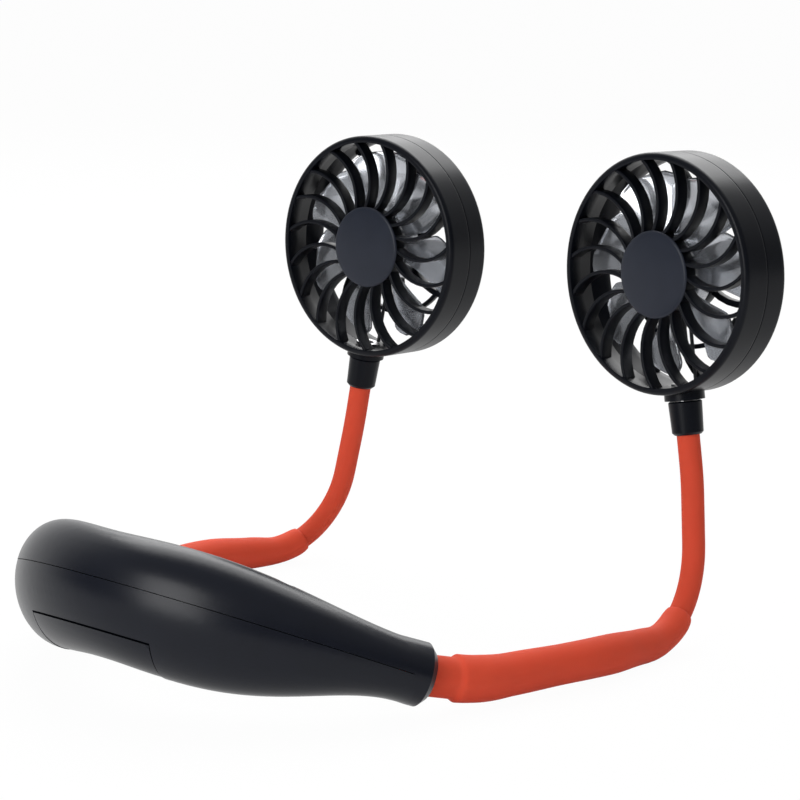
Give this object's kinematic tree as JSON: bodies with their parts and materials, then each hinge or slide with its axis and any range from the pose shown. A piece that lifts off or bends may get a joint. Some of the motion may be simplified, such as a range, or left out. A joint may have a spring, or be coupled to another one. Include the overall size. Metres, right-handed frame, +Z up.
{
  "type": "neck fan",
  "caption": "Wearable neck fan: crescent battery housing behind the neck, bendable silicone arms and round swivelling fan heads with a swirl grille.",
  "frame": {"origin": "middle of the footprint, on the ground the fan stands on", "axes": "+X to the wearer's side with the button, +Y from the housing behind the neck to the fan heads, +Z up; the plane X = 0 halves the fan"},
  "size_m": [0.1874, 0.1874, 0.1405],
  "materials": {
    "shell_plastic": "satin black, fine grain",
    "grille_plastic": "satin to gloss black",
    "silicone": "matt red-orange silicone",
    "clear_plastic": "clear, slightly smoky",
    "steel": "bright drawn",
    "soft_metal": "annealed wire",
    "cell_wrap": "shrink-wrapped cells",
    "board": "green solder resist",
    "lead_insulation": "thin flexible insulation",
    "light_pipe": "frosted clear"
  },
  "bodies": {
    "housing": {"upper_shell": "shell_plastic", "lower_shell": "shell_plastic", "right_leg_collar": "shell_plastic", "left_leg_collar": "shell_plastic", "right_arm_anchor": "shell_plastic", "left_arm_anchor": "shell_plastic", "battery_pack": "cell_wrap", "control_board": "board", "button_switch": "grille_plastic", "indicator_lens": "light_pipe", "charge_socket": "steel", "right_board_lead": "lead_insulation", "left_board_lead": "lead_insulation", "battery_lead": "lead_insulation"},
    "battery_door": {"battery_door": "shell_plastic"},
    "power_button": {"power_button": "grille_plastic"},
    "right_arm": {"right_arm_sleeve": "silicone", "right_stem_tube": "silicone", "right_core_wire": "soft_metal", "right_arm_lead": "lead_insulation"},
    "right_stem": {"right_ferrule": "grille_plastic", "right_swivel_pivot": "steel"},
    "right_head": {"right_front_grille": "grille_plastic", "right_hub_cap": "grille_plastic", "right_rear_shell": "shell_plastic", "right_motor": "steel", "right_motor_lead": "lead_insulation", "right_swivel_collar": "grille_plastic"},
    "right_impeller": {"right_impeller": "clear_plastic", "right_motor_shaft": "steel"},
    "left_arm": {"left_arm_sleeve": "silicone", "left_stem_tube": "silicone", "left_core_wire": "soft_metal", "left_arm_lead": "lead_insulation"},
    "left_stem": {"left_ferrule": "grille_plastic", "left_swivel_pivot": "steel"},
    "left_head": {"left_front_grille": "grille_plastic", "left_hub_cap": "grille_plastic", "left_rear_shell": "shell_plastic", "left_motor": "steel", "left_motor_lead": "lead_insulation", "left_swivel_collar": "grille_plastic"},
    "left_impeller": {"left_impeller": "clear_plastic", "left_motor_shaft": "steel"}
  },
  "joints": [
    {"name": "battery_door_slide", "type": "slide", "parent": "housing", "child": "battery_door", "axis": [0, -0.9061, -0.423], "range_m": [0, 0.02]},
    {"name": "power_button_press", "type": "slide", "parent": "housing", "child": "power_button", "axis": [0.0634, -0.398, -0.9152], "range_m": [0, 0.0005], "stiffness_N_per_m": 2500, "springref_m": -0.0001},
    {"name": "right_arm_spread", "type": "hinge", "parent": "housing", "child": "right_arm", "pos_m": [0.06839, -0.03155, 0.01083], "axis": [0, 0, -1], "range_deg": [-8, 20], "deforming": ["right_arm_sleeve", "right_core_wire", "right_arm_lead"]},
    {"name": "right_arm_bend", "type": "hinge", "parent": "right_arm", "child": "right_stem", "pos_m": [0.07086, 0.0788, 0.03226], "axis": [1, 0, 0], "range_deg": [-40, 40], "deforming": ["right_stem_tube", "right_core_wire", "right_arm_lead"]},
    {"name": "right_head_swivel", "type": "hinge", "parent": "right_stem", "child": "right_head", "pos_m": [0.0583, 0.08277, 0.10535], "axis": [-0.175, 0.0384, 0.9838], "range_deg": [-180, 180]},
    {"name": "right_impeller_spin", "type": "hinge", "parent": "right_head", "child": "right_impeller", "pos_m": [0.0583, 0.08277, 0.10535], "axis": [-0.0642, -0.9976, 0.0275], "continuous": true},
    {"name": "left_arm_spread", "type": "hinge", "parent": "housing", "child": "left_arm", "pos_m": [-0.06839, -0.03155, 0.01083], "axis": [0, 0, 1], "range_deg": [-8, 20], "deforming": ["left_arm_sleeve", "left_core_wire", "left_arm_lead"]},
    {"name": "left_arm_bend", "type": "hinge", "parent": "left_arm", "child": "left_stem", "pos_m": [-0.07099, 0.07869, 0.02953], "axis": [1, 0, 0], "range_deg": [-40, 40], "deforming": ["left_stem_tube", "left_core_wire", "left_arm_lead"]},
    {"name": "left_head_swivel", "type": "hinge", "parent": "left_stem", "child": "left_head", "pos_m": [-0.0583, 0.08277, 0.10259], "axis": [0.175, 0.0384, 0.9838], "range_deg": [-180, 180]},
    {"name": "left_impeller_spin", "type": "hinge", "parent": "left_head", "child": "left_impeller", "pos_m": [-0.0583, 0.08277, 0.10259], "axis": [0.0642, -0.9976, 0.0275], "continuous": true}
  ]
}
